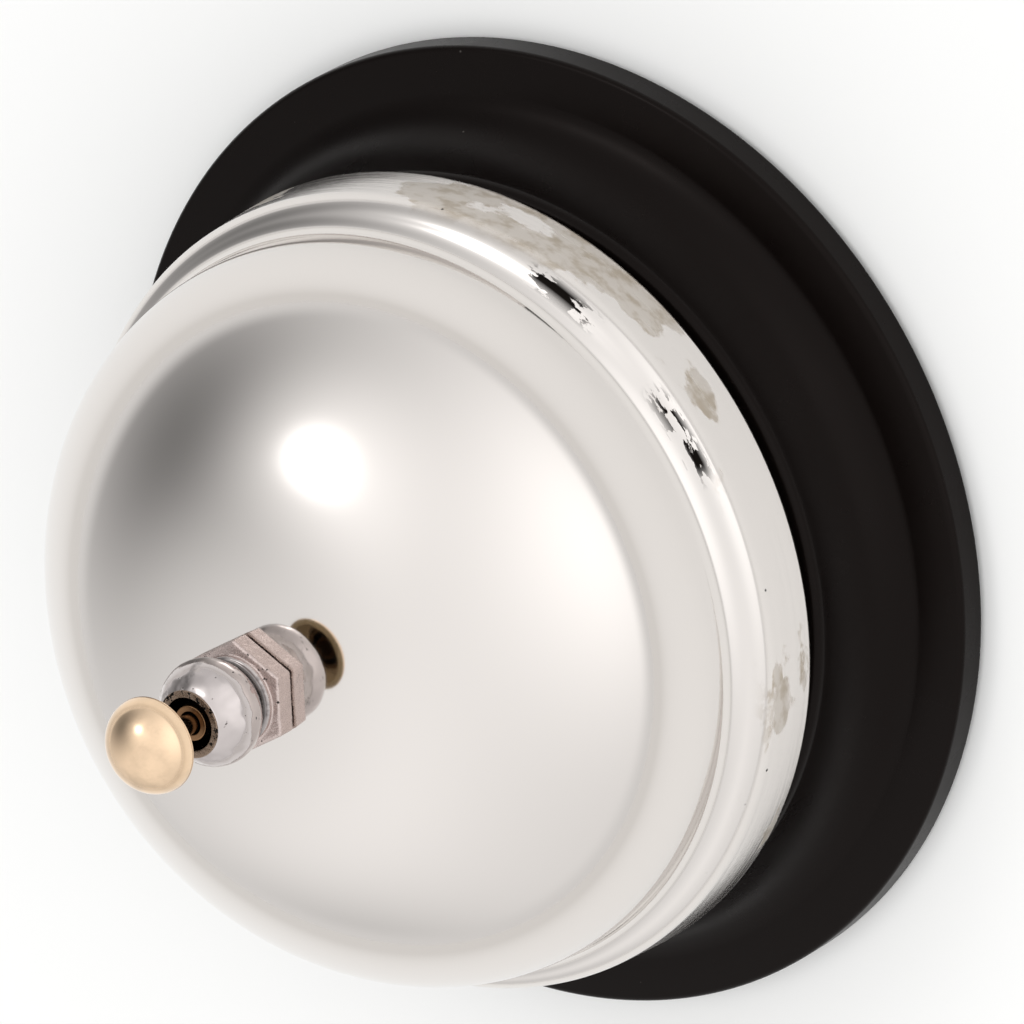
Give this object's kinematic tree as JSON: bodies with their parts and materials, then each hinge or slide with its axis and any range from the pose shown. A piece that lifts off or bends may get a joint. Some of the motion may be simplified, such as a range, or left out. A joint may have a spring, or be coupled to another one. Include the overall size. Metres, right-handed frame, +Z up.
{
  "type": "service bell",
  "caption": "Desk service bell: mirror-plated dome on a black stamped base, rung by a mushroom push button that tips a forked lever and swings a hammer inside.",
  "frame": {"origin": "middle of the base, on the plane that the feet stand on", "axes": "+Z up along the plunger; +X from the plunger towards the hammer; -Y is the front"},
  "size_m": [0.085, 0.085, 0.0625],
  "materials": {
    "black_paint": "semi-matt black stove enamel on stamped steel",
    "nickel_plate": "bright nickel plate, mirror polished dome and satin skirt",
    "plated_casting": "plated zinc casting, pitted where it was not polished",
    "polished_brass": "polished pale brass",
    "turned_brass": "turned brass, dull",
    "zinc_plate": "zinc plated steel",
    "bright_steel": "ground bright steel",
    "spring_steel": "oiled spring steel",
    "black_rubber": "moulded black rubber",
    "nylon": "natural nylon",
    "red_fibre": "vulcanised fibre"
  },
  "bodies": {
    "frame": {"base_shell": "black_paint", "bracket": "zinc_plate", "post": "turned_brass", "post_nut": "zinc_plate", "bell_seat_nut": "zinc_plate", "cushion_washer": "red_fibre", "bell_dome": "nickel_plate", "cap_nut": "plated_casting", "return_spring": "spring_steel", "pivot_pin": "bright_steel", "pin_clip": "spring_steel", "foot_back_right": "black_rubber", "foot_back_left": "black_rubber", "foot_front_left": "black_rubber", "foot_front_right": "black_rubber", "rivet_back_right": "zinc_plate", "rivet_back_left": "zinc_plate", "rivet_front_left": "zinc_plate", "rivet_front_right": "zinc_plate"},
    "plunger": {"button": "polished_brass", "plunger_rod": "bright_steel", "stop_washer": "nylon", "rod_collar": "bright_steel", "retaining_clip": "spring_steel", "spring_seat": "zinc_plate"},
    "striker": {"striker_lever": "zinc_plate", "striker_hammer": "turned_brass"}
  },
  "joints": [
    {"name": "plunger_press", "type": "slide", "parent": "frame", "child": "plunger", "axis": [0, 0, -1], "range_m": [0, 0.004], "stiffness_N_per_m": 400, "springref_m": -0.004, "deforming": ["return_spring"]},
    {"name": "striker_swing", "type": "hinge", "parent": "frame", "child": "striker", "pos_m": [0.00602, 0, 0.02555], "axis": [0, -1, 0], "range_deg": [0, 38.25]}
  ],
  "couplings": [
    {"joint": "striker_swing", "follows": "plunger_press", "rad_per_m": 166.75}
  ]
}
